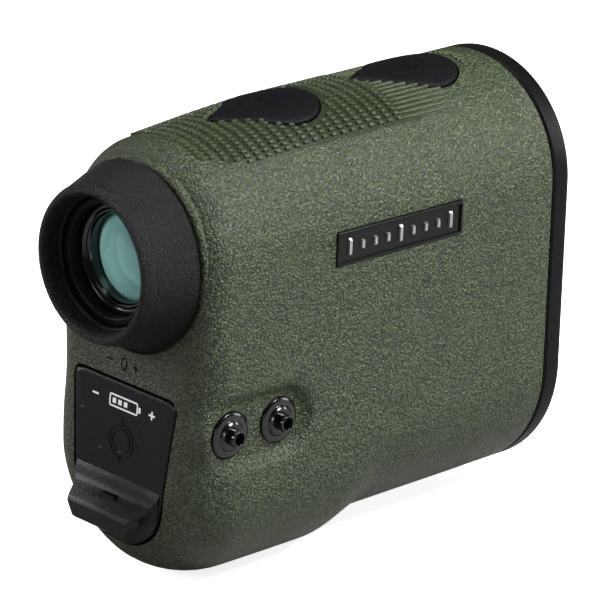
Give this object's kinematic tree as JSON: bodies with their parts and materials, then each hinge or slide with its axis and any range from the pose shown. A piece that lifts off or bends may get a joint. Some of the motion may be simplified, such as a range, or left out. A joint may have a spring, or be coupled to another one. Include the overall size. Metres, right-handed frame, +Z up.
{
  "type": "laser rangefinder",
  "caption": "Hand-held monocular laser rangefinder with a turning eyecup, teardrop crown buttons, side clip posts and a hinged battery door",
  "frame": {"origin": "under the middle of the instrument, on the surface that it stands on", "axes": "+Y forward, towards the objective; +X to the user's right, the side with the clip posts; +Z up"},
  "size_m": [0.044, 0.0952, 0.0806],
  "materials": {
    "armour": "pebbled olive green rubber",
    "housing": "fine matt black moulding",
    "bezel": "semi-gloss black moulding",
    "seal": "soft black rubber",
    "button_rubber": "matt charcoal rubber",
    "cup_rubber": "soft-touch charcoal rubber",
    "badge": "satin black",
    "badge_marks": "satin silver",
    "post_black": "gloss black",
    "door": "satin black moulding",
    "black_anodised": "black anodised",
    "coated_glass": "teal anti-reflection coating",
    "prism_glass": "clear polished",
    "battery_can": "lacquered can",
    "contact_brass": "plated",
    "spring_steel": "bright",
    "chassis_alloy": "cast, bead blasted",
    "board": "green solder mask",
    "chip": "black epoxy",
    "switch": "black with a metal frame",
    "can_metal": "plated can"
  },
  "bodies": {
    "root": {"badge_plate_right": "badge", "badge_marks_right": "badge_marks", "badge_plate_left": "badge", "badge_marks_left": "badge_marks", "clip_posts": "post_black", "clip_post_flanges": "post_black", "armour_skin": "armour", "main_housing": "housing", "front_bezel": "bezel", "front_seal": "seal", "button_seals": "seal", "button_switches": "switch", "button_board": "board", "eyepiece_barrel": "black_anodised", "eyepiece_seal": "seal", "door_hinge_pin": "spring_steel", "battery_tube": "housing", "battery": "battery_can", "battery_front_contact": "contact_brass", "objective_cell": "black_anodised", "objective_lens": "coated_glass", "objective_ring": "black_anodised", "objective_seal": "seal", "receiver_cell": "black_anodised", "receiver_lens": "coated_glass", "receiver_ring": "black_anodised", "receiver_seal": "seal", "optical_chassis": "chassis_alloy", "chassis_screws": "spring_steel", "prism_holder": "chassis_alloy", "prism_front": "prism_glass", "prism_rear": "prism_glass", "display_module": "board", "main_board": "board", "board_chips": "chip", "laser_diode": "can_metal", "detector_board": "board", "photodiode": "can_metal"},
    "battery_door": {"battery_door": "door", "door_seal": "seal", "door_latch_tongue": "spring_steel", "door_contact_spring": "spring_steel"},
    "diopter_ring": {"eyecup": "cup_rubber", "diopter_sleeve": "black_anodised"},
    "ocular_cell": {"ocular_cell": "black_anodised", "ocular_retaining_ring": "black_anodised", "eye_lens": "coated_glass", "field_lens": "coated_glass"},
    "menu_button": {"menu_button": "button_rubber"},
    "measure_button": {"measure_button": "button_rubber"}
  },
  "joints": [
    {"name": "diopter_turn", "type": "hinge", "parent": "root", "child": "diopter_ring", "pos_m": [0, -0.0426, 0.0589], "axis": [0, 1, 0], "range_deg": [-60, 60]},
    {"name": "ocular_focus", "type": "slide", "parent": "diopter_ring", "child": "ocular_cell", "axis": [0, 1, 0], "range_m": [-0.001, 0.001]},
    {"name": "door_swing", "type": "hinge", "parent": "root", "child": "battery_door", "pos_m": [0, -0.0376, 0.03475], "axis": [-1, 0, 0], "range_deg": [0, 85]},
    {"name": "menu_press", "type": "slide", "parent": "root", "child": "menu_button", "axis": [0, 0, -1], "range_m": [0, 0.0007], "stiffness_N_per_m": 600, "springref_m": -0.0012},
    {"name": "measure_press", "type": "slide", "parent": "root", "child": "measure_button", "axis": [0, 0, -1], "range_m": [0, 0.0007], "stiffness_N_per_m": 600, "springref_m": -0.0012}
  ],
  "couplings": [
    {"joint": "ocular_focus", "follows": "diopter_turn", "m_per_rad": 0.00095}
  ]
}
